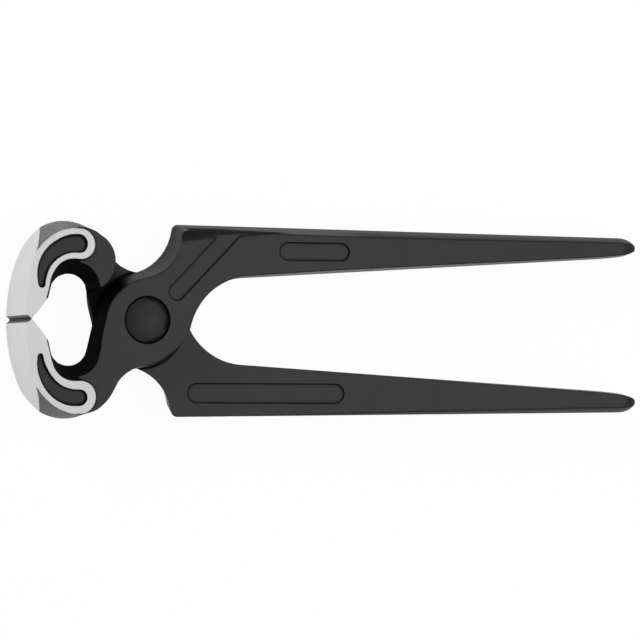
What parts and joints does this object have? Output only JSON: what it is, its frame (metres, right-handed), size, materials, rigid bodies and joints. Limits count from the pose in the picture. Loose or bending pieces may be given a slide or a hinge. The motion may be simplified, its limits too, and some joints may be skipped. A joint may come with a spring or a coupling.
{
  "type": "end cutting nippers",
  "caption": "Black forged steel end cutting nippers: round hollow jaws with bright ground flats and cutting edges, and long tapering handles crossed on a flush rivet.",
  "frame": {"origin": "under the middle of the closed tool, level with the lowest edge of the jaws", "axes": "+X from the jaws' nose to the handle ends, +Y across the handles towards the front lever's handle, +Z along the rivet"},
  "size_m": [0.18, 0.053, 0.02],
  "materials": {
    "lever_steel": "black oxide on forged steel, jaws ground bright",
    "rivet_steel": "black oxide steel"
  },
  "bodies": {
    "front": {"front_lever": "lever_steel", "pivot_rivet": "rivet_steel"},
    "back": {"back_lever": "lever_steel"}
  },
  "joints": [
    {"name": "rivet_hinge", "type": "hinge", "parent": "front", "child": "back", "pos_m": [-0.0554, 0, 0.01], "axis": [0, 0, -1], "range_deg": [0, 43]}
  ]
}
